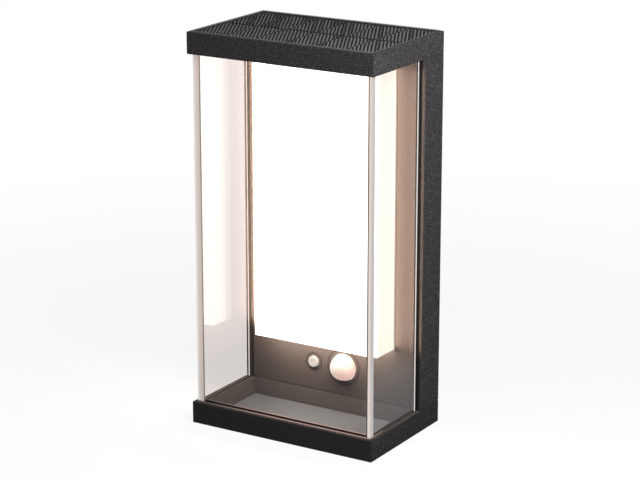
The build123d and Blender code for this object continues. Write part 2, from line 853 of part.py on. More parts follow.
with BuildPart() as battery_contacts:
    for row in (-battery_offset, battery_offset):
        with BuildSketch(Plane.XY.offset(holder_mid + row - contact_width / 2)):
            for end in (-1, 1):
                leg_x = end * (battery_length / 2 + contact_space - contact_thickness / 2)
                pad_x = end * (battery_length / 2 + contact_thickness / 2)
                with BuildLine():
                    leaf = Polyline(
                        (leg_x, holder_rim_y),
                        (leg_x, holder_floor_y + contact_foot),
                        (pad_x, -battery_axis - contact_pad / 2),
                        (pad_x, -battery_axis + contact_pad / 2),
                    )
                    offset(leaf, contact_thickness / 2, kind=Kind.INTERSECTION)
                make_face()
        extrude(amount=contact_width)
save(battery_contacts, "battery_contacts")

# Screws: each set is one node, with its shank length and the planes that its heads seat on
screw_sets = {
    "cap_screws": (
        cap_floor + screw_bite,
        [Plane((x, y, pocket_floor)) for x, y in cap_screw_points],
    ),
    "base_screws": (
        base_deck + screw_bite,
        [Plane((x, y, base_pocket_top), z_dir=(0, 0, -1)) for x, y in base_screw_points],
    ),
    "cover_screws": (
        cover_thickness + screw_bite - screw_end_gap,
        [Plane((x, -cover_setback, z), z_dir=(0, 1, 0)) for x, z in cover_boss_points],
    ),
    "led_board_screws": (
        led_board_thickness + face_wall + small_bite,
        [Plane((x, -led_board_front, z), z_dir=(0, -1, 0)) for x, z in led_screw_points],
    ),
    "board_screws": (
        board_thickness + small_bite - screw_fit,
        [Plane((x, -board_back, z), z_dir=(0, 1, 0)) for x, z in board_screw_points],
    ),
}
for set_name, (shank, seats) in screw_sets.items():
    screw = pan_screw(shank)
    with BuildPart() as screw_set:
        with Locations(*seats):
            add(screw)
    save(screw_set, set_name)

# Leads from the solar panel, the lamp board and the battery, each to its own socket on the control board
with BuildPart() as lead_grommet:
    with BuildSketch(Plane.XY.offset(cavity_top)):
        with Locations((lead_x, screw_row_y)):
            Circle(grommet_radius)
    extrude(amount=pocket_floor - cavity_top)
    with BuildSketch(Plane.XY.offset(pocket_floor)):
        with Locations((lead_x, screw_row_y)):
            Circle(grommet_rim)
    extrude(amount=grommet_flange_thickness)
    with Locations((lead_x, screw_row_y, pocket_floor + grommet_flange_thickness)):
        Hole(lead_radius + lead_fit)
save(lead_grommet, "lead_grommet")

solar_lead_level = panel_back - terminal_height / 2
top_bend = solar_lead_level - pocket_floor - grommet_flange_thickness
led_lead_y = -(led_board_front + led_socket_height / 2)
battery_lead_y = (holder_rim_y + holder_floor_y) / 2
lead_routes = {
    "solar_lead": (
        [
            (lead_x, terminal_front_y, solar_lead_level),
            (lead_x, screw_row_y, solar_lead_level),
            (lead_x, screw_row_y, board_top + 2 * lead_drop),
            (socket_pitch, -socket_mid, board_top + lead_drop),
            (socket_pitch, -socket_mid, board_top),
        ],
        [top_bend, lead_bend, lead_bend],
    ),
    "led_lead": (
        [
            (0, led_lead_y, led_board_low),
            (0, led_lead_y, led_hole_z),
            (0, -socket_mid, led_hole_z),
            (0, -socket_mid, board_top),
        ],
        [led_hole_drop - lead_radius, lead_corner],
    ),
    "battery_lead": (
        [
            (-socket_pitch, battery_lead_y, holder_low),
            (-socket_pitch, battery_lead_y, holder_low - lead_drop),
            (-socket_pitch, -socket_mid, board_top + lead_drop),
            (-socket_pitch, -socket_mid, board_top),
        ],
        [lead_bend, lead_bend],
    ),
}
for lead_name, (points, radii) in lead_routes.items():
    with BuildPart() as lead:
        with BuildLine() as route:
            FilletPolyline(*points, radius=radii)
        with BuildSketch(Plane(route.line @ 0, z_dir=route.line % 0)):
            Circle(lead_radius)
        sweep(path=route.line)
    save(lead, lead_name)
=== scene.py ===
"""Looks of a lantern-shaped solar wall light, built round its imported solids."""

import math

import bpy
from bpy.props import FloatProperty, FloatVectorProperty, IntProperty, PointerProperty
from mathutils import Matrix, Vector


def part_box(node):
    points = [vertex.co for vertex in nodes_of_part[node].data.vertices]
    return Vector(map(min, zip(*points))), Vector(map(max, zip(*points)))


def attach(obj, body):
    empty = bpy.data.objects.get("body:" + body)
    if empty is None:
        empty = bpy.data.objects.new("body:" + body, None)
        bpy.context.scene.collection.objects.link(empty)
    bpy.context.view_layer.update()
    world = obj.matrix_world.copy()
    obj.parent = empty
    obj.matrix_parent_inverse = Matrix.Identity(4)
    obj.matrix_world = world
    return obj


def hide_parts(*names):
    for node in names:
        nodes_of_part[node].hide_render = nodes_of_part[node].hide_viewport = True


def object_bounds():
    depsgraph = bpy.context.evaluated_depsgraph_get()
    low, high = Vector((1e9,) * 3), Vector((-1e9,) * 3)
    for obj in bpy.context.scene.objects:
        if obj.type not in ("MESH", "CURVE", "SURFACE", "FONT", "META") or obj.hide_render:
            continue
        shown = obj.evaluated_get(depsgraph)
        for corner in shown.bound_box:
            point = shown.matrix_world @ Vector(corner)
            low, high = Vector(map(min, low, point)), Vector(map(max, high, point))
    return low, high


bl_info = {
    "name": "Solar wall light",
    "version": (1, 0, 0),
    "blender": (4, 5, 0),
    "location": "View3D > Sidebar > Wall light",
    "description": "Dresses the solids of a solar wall light and sets up its studio",
    "category": "Object",
}

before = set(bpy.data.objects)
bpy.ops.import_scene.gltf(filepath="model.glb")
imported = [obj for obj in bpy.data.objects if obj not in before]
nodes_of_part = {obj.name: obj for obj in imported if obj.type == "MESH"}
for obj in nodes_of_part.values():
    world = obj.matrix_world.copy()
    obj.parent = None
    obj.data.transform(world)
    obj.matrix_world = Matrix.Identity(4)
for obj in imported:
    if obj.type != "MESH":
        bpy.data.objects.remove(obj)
solid_low, solid_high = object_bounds()

# Corners of the clear panes, ends of their side seals, and the front of the housing
pane_low, pane_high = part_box("clear_shade")
seal_heights = tuple(corner.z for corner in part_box("shade_side_seals"))
face_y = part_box("rear_housing")[0].y

MM = 0.001
FRONT = Vector((0, -1, 0))
BACK = Vector((0, 1, 0))
LEFT = Vector((-1, 0, 0))
RIGHT = Vector((1, 0, 0))
DOWN = Vector((0, 0, -1))
UP = Vector((0, 0, 1))

# Directions that count when a distance is measured
ONLY_X = (1, 0, 0)
ONLY_Y = (0, 1, 0)
ONLY_Z = (0, 0, 1)
IN_PLAN = (1, 1, 0)

# Grain that is drawn out along Z
DRAWN_UP = (1, 1, 0.3)

# Thickness of the tape behind the side panes
TAPE = 0.06 * MM


class CoatSettings(bpy.types.PropertyGroup):
    """The powder coat on cap, housing and base."""

    colour: FloatVectorProperty(
        name="Coat", description="Main colour of the powder coat", subtype="COLOR",
        default=(0.05, 0.0475, 0.0475), min=0, max=1,
    )
    fleck: FloatVectorProperty(
        name="Fleck", description="Colour of the grains that catch the light", subtype="COLOR",
        default=(0.13, 0.124, 0.128), min=0, max=1,
    )
    grit: FloatProperty(
        name="Grit", description="Width of one grain of the coat", unit="LENGTH", default=0.9 * MM,
    )
    depth: FloatProperty(
        name="Depth", description="Height of the grains", unit="LENGTH", default=0.035 * MM,
    )
    # Painted light: the front faces of housing and base are drawn this much lighter
    front_painted_light: FloatProperty(
        name="Front share", description="How much lighter the front faces of housing and base are",
        default=1.35, min=0, max=3,
    )
    # Painted light: the back wall of the base's recess is drawn this much lighter
    recess_painted_light: FloatProperty(
        name="Recess share", description="How much lighter the back wall of the base's recess is",
        default=2.5, min=1.1, max=3,
    )
    # Painted shade: the base is drawn at this share of the coat's tone
    base_painted_shade: FloatProperty(
        name="Base share", description="How much of the coat's tone the base has", subtype="FACTOR",
        default=0.72, min=0, max=1,
    )


class ShadeSettings(bpy.types.PropertyGroup):
    """The clear shade."""

    wall: FloatProperty(
        name="Wall", description="Thickness of the panes", unit="LENGTH", default=3.0 * MM,
    )
    front_tint: FloatVectorProperty(
        name="Front tint", description="Colour of the front pane", subtype="COLOR",
        default=(0.99, 0.965, 0.95), min=0, max=1,
    )
    # Painted shade and reflection: the side panes are drawn darker and pinker than the front pane
    side_painted_shade: FloatVectorProperty(
        name="Side painted shade", description="Colour of the side panes", subtype="COLOR",
        default=(0.83, 0.8, 0.795), min=0, max=1,
    )


class SolarSettings(bpy.types.PropertyGroup):
    """The printed solar cells under the cover."""

    columns: IntProperty(name="Columns", description="Cells from left to right", default=6)
    rows: IntProperty(name="Rows", description="Cells from front to back", default=2)
    gap: FloatProperty(
        name="Gap", description="Space between two columns of cells", unit="LENGTH", default=0.5 * MM,
    )
    row_gap: FloatProperty(
        name="Row gap", description="Space between two rows of cells", unit="LENGTH", default=2.0 * MM,
    )
    corner: FloatProperty(
        name="Corner", description="Cut-off corner of a wafer", unit="LENGTH", default=1.0 * MM,
    )
    pitch: FloatProperty(
        name="Pitch", description="From one printed line to the next", unit="LENGTH", default=2.05 * MM,
    )
    line: FloatProperty(
        name="Line", description="Width of a printed line", unit="LENGTH", default=1.0 * MM,
    )
    slant: FloatProperty(
        name="Slant", description="Turn of the printed lines from front-to-back", subtype="ANGLE",
        default=math.radians(28),
    )
    margin: FloatProperty(
        name="Margin", description="Bare edge of a wafer round its print", unit="LENGTH",
        default=0.15 * MM,
    )
    relief: FloatProperty(
        name="Relief", description="Height of the print over the wafer", unit="LENGTH", default=0.06 * MM,
    )


class GlowSettings(bpy.types.PropertyGroup):
    """The lit diffuser."""

    face: FloatVectorProperty(
        name="Face", description="Colour of the lit front", subtype="COLOR",
        default=(0.96, 0.95, 0.91), min=0, max=1,
    )
    left_flank: FloatVectorProperty(
        name="Left flank", description="Colour of the lit left side", subtype="COLOR",
        default=(1.0, 1.0, 0.88), min=0, max=1,
    )
    right_flank: FloatVectorProperty(
        name="Right flank", description="Colour of the lit right side, which the key lamp lights too",
        subtype="COLOR", default=(0.51, 0.52, 0.456), min=0, max=1,
    )
    brightness: FloatProperty(
        name="Brightness", description="Light round the left front edge, twice as much as elsewhere",
        default=4.2,
    )
    colour: FloatVectorProperty(
        name="Glow", description="Colour of the light that falls on the castings", subtype="COLOR",
        default=(1.0, 0.73, 0.57), min=0, max=1,
    )
    side_colour: FloatVectorProperty(
        name="Side glow", description="Colour of the light from the diffuser's sides", subtype="COLOR",
        default=(1.0, 0.69, 0.5), min=0, max=1,
    )
    forward: FloatProperty(name="Forward", description="Light from the diffuser's front", default=7.6)
    leftward: FloatProperty(
        name="Leftward", description="Light from the diffuser's left side", default=16.0,
    )
    rightward: FloatProperty(
        name="Rightward", description="Light from the diffuser's right side", default=19.0,
    )
    downward: FloatProperty(
        name="Downward", description="Light from the diffuser's underside and top", default=18.5,
    )
    left_edge: FloatProperty(
        name="Left edge", description="Light on the housing's front beside the left pane", default=62.0,
    )
    right_edge: FloatProperty(
        name="Right edge", description="Light on the housing's front beside the right pane", default=4.5,
    )
    past_panes: FloatProperty(
        name="Past the panes", description="Light on the housing's rim beside the panes", default=9.0,
    )


class StageSettings(bpy.types.PropertyGroup):
    """Camera, lamps and floor."""

    azimuth: FloatProperty(
        name="Azimuth", description="Camera's turn to the right of the front", subtype="ANGLE",
        default=math.radians(31.72),
    )
    elevation: FloatProperty(
        name="Elevation", description="Camera's angle over the horizon", subtype="ANGLE",
        default=math.radians(16.19),
    )
    distance: FloatProperty(
        name="Distance", description="From the camera to its target", unit="LENGTH", default=1.2982,
    )
    target: FloatVectorProperty(
        name="Target", description="Point that the camera and the lamps look at", subtype="XYZ",
        default=(3.15 * MM, -40 * MM, -5.27 * MM),
    )
    lens: FloatProperty(name="Lens", description="Focal length in millimetres", default=123.93)
    sky: FloatProperty(name="Sky", description="Soft light from all round", default=0.05)
    mirror: FloatProperty(
        name="Mirror", description="How much of the white background reflections show", subtype="FACTOR",
        default=0.22, min=0, max=1,
    )
    key: FloatProperty(name="Key", description="Power of the lamp on the right", unit="POWER", default=2.2)
    fill: FloatProperty(
        name="Fill", description="Power of the lamp on the left", unit="POWER", default=0.92,
    )
    floor: FloatVectorProperty(
        name="Floor", description="Colour of the floor", subtype="COLOR",
        default=(0.12, 0.12, 0.12), min=0, max=1,
    )


class WallLightSettings(bpy.types.PropertyGroup):
    """All that a user would change."""

    coat: PointerProperty(type=CoatSettings)
    shade: PointerProperty(type=ShadeSettings)
    solar: PointerProperty(type=SolarSettings)
    glow: PointerProperty(type=GlowSettings)
    stage: PointerProperty(type=StageSettings)


def grey(tone):
    """A colour with three equal parts."""
    return (tone, tone, tone)


def new_finish(name, plain):
    """A material whose shader has these plain values."""
    finish = bpy.data.materials.new(name)
    finish.use_nodes = True
    finish.cycles.emission_sampling = "NONE"
    shader = finish.node_tree.nodes["Principled BSDF"]
    for socket, value in plain.items():
        shader.inputs[socket].default_value = value
    return finish


def link(owner, source, target):
    """Joins two sockets of a finish or a world."""
    owner.node_tree.links.new(source, target)


def feed(finish, socket, source):
    """Lets a texture set one socket of the finish's shader."""
    link(finish, source, finish.node_tree.nodes["Principled BSDF"].inputs[socket])


def place_on_part(finish, stretch=(1, 1, 1), shift=(0, 0, 0)):
    """Coordinates of the part, in metres."""
    nodes = finish.node_tree.nodes
    mapping = nodes.new("ShaderNodeMapping")
    mapping.inputs["Scale"].default_value = stretch
    mapping.inputs["Location"].default_value = shift
    link(finish, nodes.new("ShaderNodeTexCoord").outputs["Object"], mapping.inputs["Vector"])
    return mapping.outputs["Vector"]


def lumps(finish, place, size, detail=2.0):
    """Noise with lumps about as wide as size, from 0 to 1."""
    noise = finish.node_tree.nodes.new("ShaderNodeTexNoise")
    noise.inputs["Scale"].default_value = 1 / size
    noise.inputs["Detail"].default_value = detail
    link(finish, place, noise.inputs["Vector"])
    return noise.outputs["Fac"]


def pebbles(finish, size):
    """Distance from the middle of rounded cells about as wide as size."""
    voronoi = finish.node_tree.nodes.new("ShaderNodeTexVoronoi")
    voronoi.inputs["Scale"].default_value = 1 / size
    link(finish, place_on_part(finish), voronoi.inputs["Vector"])
    return voronoi.outputs["Distance"]


def between(owner, factor, low, high, start=0.3, end=0.7):
    """A number that goes from low to high as the factor goes from start to end."""
    scale = owner.node_tree.nodes.new("ShaderNodeMapRange")
    for name, value in (("From Min", start), ("From Max", end), ("To Min", low), ("To Max", high)):
        scale.inputs[name].default_value = value
    link(owner, factor, scale.inputs["Value"])
    return scale.outputs["Result"]


def combine(owner, operation, first, second):
    """Two numbers taken together by a Math node."""
    both = owner.node_tree.nodes.new("ShaderNodeMath")
    both.operation = operation
    link(owner, first, both.inputs[0])
    link(owner, second, both.inputs[1])
    return both.outputs["Value"]


def facing(finish, direction):
    """How far the surface faces a direction of the part, from 0 to 1."""
    nodes = finish.node_tree.nodes
    along = nodes.new("ShaderNodeVectorMath")
    along.operation = "DOT_PRODUCT"
    along.inputs[1].default_value = direction
    link(finish, nodes.new("ShaderNodeTexCoord").outputs["Normal"], along.inputs[0])
    return between(finish, along.outputs["Value"], 0.0, 1.0, -1.0, 1.0)


def distance_from(finish, point, counted=(1, 1, 1)):
    """How far the surface is from a point of the part, in metres, with some directions counted more."""
    length = finish.node_tree.nodes.new("ShaderNodeVectorMath")
    length.operation = "LENGTH"
    shift = [-place * factor for place, factor in zip(point, counted)]
    link(finish, place_on_part(finish, counted, shift), length.inputs[0])
    return length.outputs["Value"]


def across_node(finish, node):
    """From 0 at a node's left side to 1 at its right side."""
    low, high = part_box(node)
    return between(finish, distance_from(finish, low, ONLY_X), 0.0, 1.0, 0.0, high.x - low.x)


def tones(finish, factor, *stops):
    """Colours that follow a factor, each stop a place from 0 to 1 and a colour."""
    ramp = finish.node_tree.nodes.new("ShaderNodeValToRGB")
    elements = ramp.color_ramp.elements
    while len(elements) < len(stops):
        elements.new(1.0)
    for element, (position, colour) in zip(elements, stops):
        element.position = position
        element.color = (*colour, 1)
    link(finish, factor, ramp.inputs["Fac"])
    return ramp.outputs["Color"]


def tint(finish, socket, factor, *stops):
    """Lets colours that follow a factor set one socket of the finish's shader."""
    feed(finish, socket, tones(finish, factor, *stops))


def raise_surface(finish, height, depth):
    """Lets a height texture stand up by depth."""
    bump = finish.node_tree.nodes.new("ShaderNodeBump")
    bump.inputs["Strength"].default_value = 1.0
    bump.inputs["Distance"].default_value = depth
    link(finish, height, bump.inputs["Height"])
    feed(finish, "Normal", bump.outputs["Normal"])
    return bump


def grained_finish(
    name, dark, light, grain, roughness, depth=0.02 * MM, stretch=(1, 1, 1), specular=0.5, plain=None
):
    """A finish of two close tones with a fine grain, for mouldings, rubber and metal."""
    finish = new_finish(name, {"Specular IOR Level": specular, **(plain or {})})
    pattern = lumps(finish, place_on_part(finish, stretch), grain, detail=3.0)
    tint(finish, "Base Color", pattern, (0.3, dark), (0.7, light))
    feed(finish, "Roughness", between(finish, pattern, *roughness))
    raise_surface(finish, pattern, depth)
    return finish


def dress(finish, *names):
    """Gives CAD nodes a finish."""
    for name in names:
        node = nodes_of_part[name]
        node.data.materials.clear()
        node.data.materials.append(finish)


def own(piece, finish):
    """Gives a new piece its finish and lets it move with the lamp."""
    piece.data.materials.clear()
    piece.data.materials.append(finish)
    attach(piece, "lamp_body")


def deselect_all():
    """Leaves edit mode with nothing selected."""
    if bpy.context.mode != "OBJECT":
        bpy.ops.object.mode_set(mode="OBJECT")
    bpy.ops.object.select_all(action="DESELECT")


def select_only(piece):
    """Makes a piece the only one that operators act on."""
    deselect_all()
    bpy.context.view_layer.objects.active = piece
    piece.select_set(True)


def edit_all(piece):
    """Opens a piece in edit mode with its whole mesh selected."""
    select_only(piece)
    bpy.ops.object.mode_set(mode="EDIT")
    bpy.ops.mesh.select_all(action="SELECT")


def named_in_place(name):
    """Names the primitive just added, and puts its place in its mesh."""
    piece = bpy.context.active_object
    piece.name = name
    bpy.ops.object.transform_apply(location=True, rotation=True, scale=True)
    return piece


def add_block(name, low, high):
    """A block between two corners."""
    deselect_all()
    low, high = Vector(low), Vector(high)
    bpy.ops.mesh.primitive_cube_add(size=1, location=(low + high) / 2, scale=high - low)
    return named_in_place(name)


def upright(a, b):
    """True for an edge along Z."""
    return abs(a.z - b.z) > max(abs(a.x - b.x), abs(a.y - b.y))


def bevel_edges(piece, chosen, width, segments):
    """Bevels the edges that chosen picks by their two end points."""
    select_only(piece)
    bpy.context.tool_settings.mesh_select_mode = (False, True, False)
    mesh = piece.data
    for part in (*mesh.vertices, *mesh.edges, *mesh.polygons):
        part.select = False
    for edge in mesh.edges:
        ends = [mesh.vertices[index].co for index in edge.vertices]
        edge.select = chosen(*ends)
    bpy.ops.object.mode_set(mode="EDIT")
    bpy.ops.mesh.bevel(offset=width, segments=segments, affect="EDGES")
    bpy.ops.object.mode_set(mode="OBJECT")


def repeat(piece, count, step):
    """Copies a piece's mesh along a step, as one mesh."""
    select_only(piece)
    bpy.ops.object.modifier_add(type="ARRAY")
    array = piece.modifiers[-1]
    array.count = count
    array.use_relative_offset = False
    array.use_constant_offset = True
    array.constant_offset_displace = step
    bpy.ops.object.modifier_apply(modifier=array.name)


def add_twins(name, node, across, along, up):
    """A thin upright strip and its twin, as one mesh, as far in from a node's two sides as across says."""
    low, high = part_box(node)
    strip = add_block(name, (low.x + across[0], along[0], up[0]), (low.x + across[1], along[1], up[1]))
    skin = min(across[1] - across[0], along[1] - along[0])
    bevel_edges(strip, upright, skin / 3, 2)
    repeat(strip, 2, (high.x - low.x - sum(across), 0, 0))
    return strip


def join_pieces(pieces):
    """Makes one mesh of several pieces, under the first one's name."""
    select_only(pieces[0])
    for piece in pieces[1:]:
        piece.select_set(True)
    bpy.ops.object.join()
    return pieces[0]


def turn_piece(piece, angle, pivot):
    """Turns a piece about the upright line through a point, anticlockwise from above."""
    edit_all(piece)
    bpy.ops.transform.rotate(value=-angle, orient_axis="Z", center_override=pivot)
    bpy.ops.object.mode_set(mode="OBJECT")


def cut_off(piece, point, outward):
    """Cuts away what lies outward of a point, and closes the cut."""
    edit_all(piece)
    bpy.ops.mesh.bisect(plane_co=point, plane_no=outward, use_fill=True, clear_outer=True)
    bpy.ops.object.mode_set(mode="OBJECT")


def open_faces(piece, *directions):
    """Takes off the faces of a block that look along any of these directions."""
    edit_all(piece)
    bpy.ops.mesh.select_all(action="DESELECT")
    bpy.ops.object.mode_set(mode="OBJECT")
    for face in piece.data.polygons:
        face.select = any(face.normal.dot(direction) > 0.5 for direction in directions)
    bpy.ops.object.mode_set(mode="EDIT")
    bpy.ops.mesh.delete(type="ONLY_FACE")
    bpy.ops.object.mode_set(mode="OBJECT")


def thicken(piece, wall):
    """Gives a sheet a wall on its inner side."""
    select_only(piece)
    bpy.ops.object.modifier_add(type="SOLIDIFY")
    wall_maker = piece.modifiers[-1]
    wall_maker.thickness = wall
    wall_maker.offset = -1
    wall_maker.use_even_offset = True
    bpy.ops.object.modifier_apply(modifier=wall_maker.name)


def add_ring(name, middle, bore, width, rise):
    """A flat ring round a line along Y, made from a round band that is given a wall."""
    deselect_all()
    bpy.ops.mesh.primitive_cylinder_add(
        vertices=64, radius=bore + width, depth=rise, end_fill_type="NOTHING",
        location=middle, rotation=(math.pi / 2, 0, 0),
    )
    ring = named_in_place(name)
    thicken(ring, width)
    return ring


def add_lamp(name, place, direction, size, power):
    """A rectangular lamp that shines along a direction, and that the camera doesn't see."""
    deselect_all()
    turn = Vector(direction).to_track_quat("-Z", "Y").to_euler()
    bpy.ops.object.light_add(type="AREA", location=place, rotation=turn)
    lamp = bpy.context.active_object
    lamp.name = name
    lamp.data.shape = "RECTANGLE"
    lamp.data.size, lamp.data.size_y = size
    lamp.data.energy = power
    lamp.visible_camera = False
    return lamp


class WALL_LIGHT_OT_castings(bpy.types.Operator):
    """Powder-coats cap, housing and base"""

    bl_idname = "wall_light.castings"
    bl_label = "Castings"

    def execute(self, context):
        coat = context.scene.wall_light.coat
        dress(self.powder_coat("charcoal_powder_coat", coat), "top_cap")
        # The housing's front faces get painted light
        housing = self.powder_coat(
            "housing_coat_painted_light", coat, front=coat.front_painted_light, calm=0.78, still=0.12
        )
        dress(housing, "rear_housing")
        # The base is a painted-shade copy of the coat, with painted light on its front faces and most on
        # its recess's back wall
        base = self.powder_coat(
            "base_coat_painted_shade_and_light", coat, share=coat.base_painted_shade, front=coat.recess_painted_light,
            foremost=(coat.front_painted_light - 1) / (coat.recess_painted_light - 1), calm=0.85, still=0.4,
        )
        dress(base, "base_tray")
        return {"FINISHED"}

    def powder_coat(self, name, coat, share=1.0, front=1.0, foremost=1.0, calm=1.0, still=1.0):
        """The coat at a share of its tone, a painted shade below 1, with front faces drawn lighter as
        painted light, and calmer and flatter.

        The foremost of these faces get only a part of the painted light. Calm is how much of the flecks
        they all keep, and still how much of the grains' height.
        """
        finish = new_finish(name, {"Specular IOR Level": 0.06})
        place = place_on_part(finish)
        ahead = facing(finish, FRONT)
        nearly, fully = 0.8, 1.0
        calmer = between(finish, ahead, 1.0, calm, nearly, fully)
        grit = combine(finish, "MULTIPLY", lumps(finish, place, coat.grit, detail=3.0), calmer)
        from_front = distance_from(finish, solid_low, ONLY_Y)
        outer, inner = 10 * MM, 30 * MM
        # Painted light on front faces, less of it on the foremost ones
        painted_front_light = combine(
            finish, "MULTIPLY", between(finish, ahead, 0.0, 1.0, nearly, fully),
            between(finish, from_front, foremost, 1.0, outer, inner),
        )
        colour = finish.node_tree.nodes.new("ShaderNodeMix")
        colour.data_type = "RGBA"
        sockets = {socket.identifier: socket for socket in (*colour.inputs, *colour.outputs)}
        link(finish, painted_front_light, sockets["Factor_Float"])
        for side, lift in (("A_Color", share), ("B_Color", share * front)):
            main, fleck = Vector(coat.colour) * lift, Vector(coat.fleck) * lift
            link(finish, tones(finish, grit, (0.36, main), (0.52, main), (0.68, fleck)), sockets[side])
        feed(finish, "Base Color", sockets["Result_Color"])
        drift = lumps(finish, place, 90 * MM)
        feed(finish, "Roughness", between(finish, drift, 0.5, 0.62))
        bump = raise_surface(finish, grit, coat.depth)
        link(finish, between(finish, ahead, 1.0, still, nearly, fully), bump.inputs["Strength"])
        return finish


class WALL_LIGHT_OT_shade(bpy.types.Operator):
    """Clear shade with its sawn edges, bonds and beads, and the rubber seals"""

    bl_idname = "wall_light.shade"
    bl_label = "Shade and seals"

    def execute(self, context):
        shade = context.scene.wall_light.shade
        self.clear_panes(shade)
        rubber = grained_finish(
            "black_rubber", grey(0.008), grey(0.016), grain=0.8 * MM, roughness=(0.35, 0.5), specular=0.4
        )
        dress(
            rubber, "shade_lower_gasket", "shade_upper_gasket", "shade_side_seals", "cover_gasket",
            "lead_grommet", "solar_panel_tape",
        )
        self.saw_edges(shade)
        self.tape_edges(shade, rubber)
        self.fit_seal_lips(shade, rubber)
        self.saw_pane_ends()
        self.bond_corners(shade)
        self.glue_corners(shade)
        self.seal_foot(shade, rubber)
        return {"FINISHED"}

    def clear_panes(self, shade):
        """Clear plastic, with a darker, pinker tint in the side panes than in the front pane, painted
        shade and reflection.
        """
        acrylic = new_finish("clear_acrylic", {"Transmission Weight": 1.0, "IOR": 1.33, "Roughness": 0.0})
        front, side = shade.front_tint, shade.side_painted_shade
        tint(
            acrylic, "Base Color", facing(acrylic, RIGHT),
            (0.0, side), (0.2, front), (0.8, front), (1.0, side),
        )
        self.paint_side_pane_glow(shade, acrylic)
        dress(acrylic, "clear_shade")
        nodes_of_part["clear_shade"].visible_shadow = False

    def paint_side_pane_glow(self, shade, acrylic):
        """Painted reflections, as glow on the side panes: a faint warm one on the left pane beside the
        diffuser, and a pale one low on the right pane.
        """
        lit_foot = pane_high.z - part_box("diffuser")[0].z
        warm, pale = (1.0, 0.675, 0.53), (0.95, 1.0, 1.0)
        tint(acrylic, "Emission Color", across_node(acrylic, "clear_shade"), (0.4, warm), (0.6, pale))
        from_top = distance_from(acrylic, pane_high, ONLY_Z)
        pane_glows = []
        for pane, glow_level, upper, lower, fade in (
            (pane_low, 0.055, 1.0, 0.0, 15 * MM),
            (pane_high, 0.022, 0.0, 1.0, 6 * MM),
        ):
            from_side = distance_from(acrylic, pane, ONLY_X)
            on_pane = between(acrylic, from_side, glow_level, 0.0, shade.wall, 1.3 * shade.wall)
            share = between(acrylic, from_top, upper, lower, lit_foot - fade, lit_foot + fade)
            pane_glows.append(combine(acrylic, "MULTIPLY", on_pane, share))
        feed(acrylic, "Emission Strength", combine(acrylic, "ADD", *pane_glows))

    def saw_edges(self, shade):
        """The matt, sawn rear edges of the two side panes, a thin skin on the clear plastic with a painted
        glow.
        """
        skin, inset = 0.15 * MM, 0.9 * MM
        rear = pane_high.y - TAPE
        edges = add_twins(
            "sawn_edges", "clear_shade", (inset, shade.wall - inset), (rear - skin, rear), seal_heights
        )
        frost_and_glow = grained_finish(
            "sawn_acrylic_painted_glow", (0.16, 0.16, 0.158), (0.2, 0.2, 0.198), grain=0.7 * MM,
            roughness=(0.5, 0.7), depth=0.03 * MM, stretch=DRAWN_UP,
            plain={"Emission Color": (1.0, 0.97, 0.93, 1), "Emission Strength": 0.86},
        )
        own(edges, frost_and_glow)

    def tape_edges(self, shade, rubber):
        """Black tape between the sawn edges and the side seals."""
        inset = 0.05 * MM
        rear = pane_high.y
        tape = add_twins(
            "edge_tape", "clear_shade", (inset, shade.wall - inset), (rear - TAPE, rear), seal_heights
        )
        own(tape, rubber)

    def fit_seal_lips(self, shade, rubber):
        """Soft lips of the side seals, on the housing to both sides of each pane."""
        foot, top = seal_heights
        inner, outer, gap, rise = 1.7 * MM, 0.7 * MM, 0.05 * MM, 0.35 * MM
        lips = []
        for start, width in (
            (pane_low.x - gap - outer, outer), (pane_low.x + shade.wall + gap, inner),
            (pane_high.x - shade.wall - gap - inner, inner), (pane_high.x + gap, outer),
        ):
            lips.append(add_block("seal_lips", (start, face_y - rise, foot), (start + width, face_y, top)))
            bevel_edges(lips[-1], upright, rise / 3, 2)
        own(join_pieces(lips), rubber)

    def saw_pane_ends(self):
        """The sawn ends of the front pane, thin skins just inside its outer corners, with a painted glow.
        """
        skin, reach, inset, cover = 0.1 * MM, 3.8 * MM, 0.1 * MM, 0.05 * MM
        front = pane_low.y
        ends = add_twins(
            "pane_ends", "clear_shade", (cover, cover + skin), (front + inset, front + reach),
            seal_heights,
        )
        frost_and_glow = grained_finish(
            "sawn_pane_end_painted_glow", (0.2, 0.195, 0.19), (0.23, 0.225, 0.22), grain=4 * MM,
            roughness=(0.4, 0.55), depth=0.005 * MM, stretch=DRAWN_UP,
            plain={"Emission Color": (1.0, 0.98, 0.96, 1), "Emission Strength": 0.46},
        )
        own(ends, frost_and_glow)

    def bond_corners(self, shade):
        """The frosted joints where the front pane is bonded to the ends of the side panes, with a painted
        glow that grows towards the right.
        """
        joint, inset = 0.12 * MM, 0.15 * MM
        inner_y = pane_low.y + shade.wall
        bonds = add_twins(
            "bonded_joints", "clear_shade", (inset, shade.wall - inset), (inner_y - joint, inner_y),
            (pane_low.z + inset, pane_high.z - inset),
        )
        frost_and_glow = grained_finish(
            "bonded_frost_painted_glow", (0.3, 0.28, 0.26), (0.34, 0.32, 0.3), grain=4 * MM,
            roughness=(0.5, 0.7), depth=0.005 * MM, stretch=DRAWN_UP,
            plain={"Emission Color": (1.0, 0.87, 0.8, 1)},
        )
        glow = between(frost_and_glow, across_node(frost_and_glow, "clear_shade"), 0.42, 0.7, 0.0, 1.0)
        feed(frost_and_glow, "Emission Strength", glow)
        own(bonds, frost_and_glow)

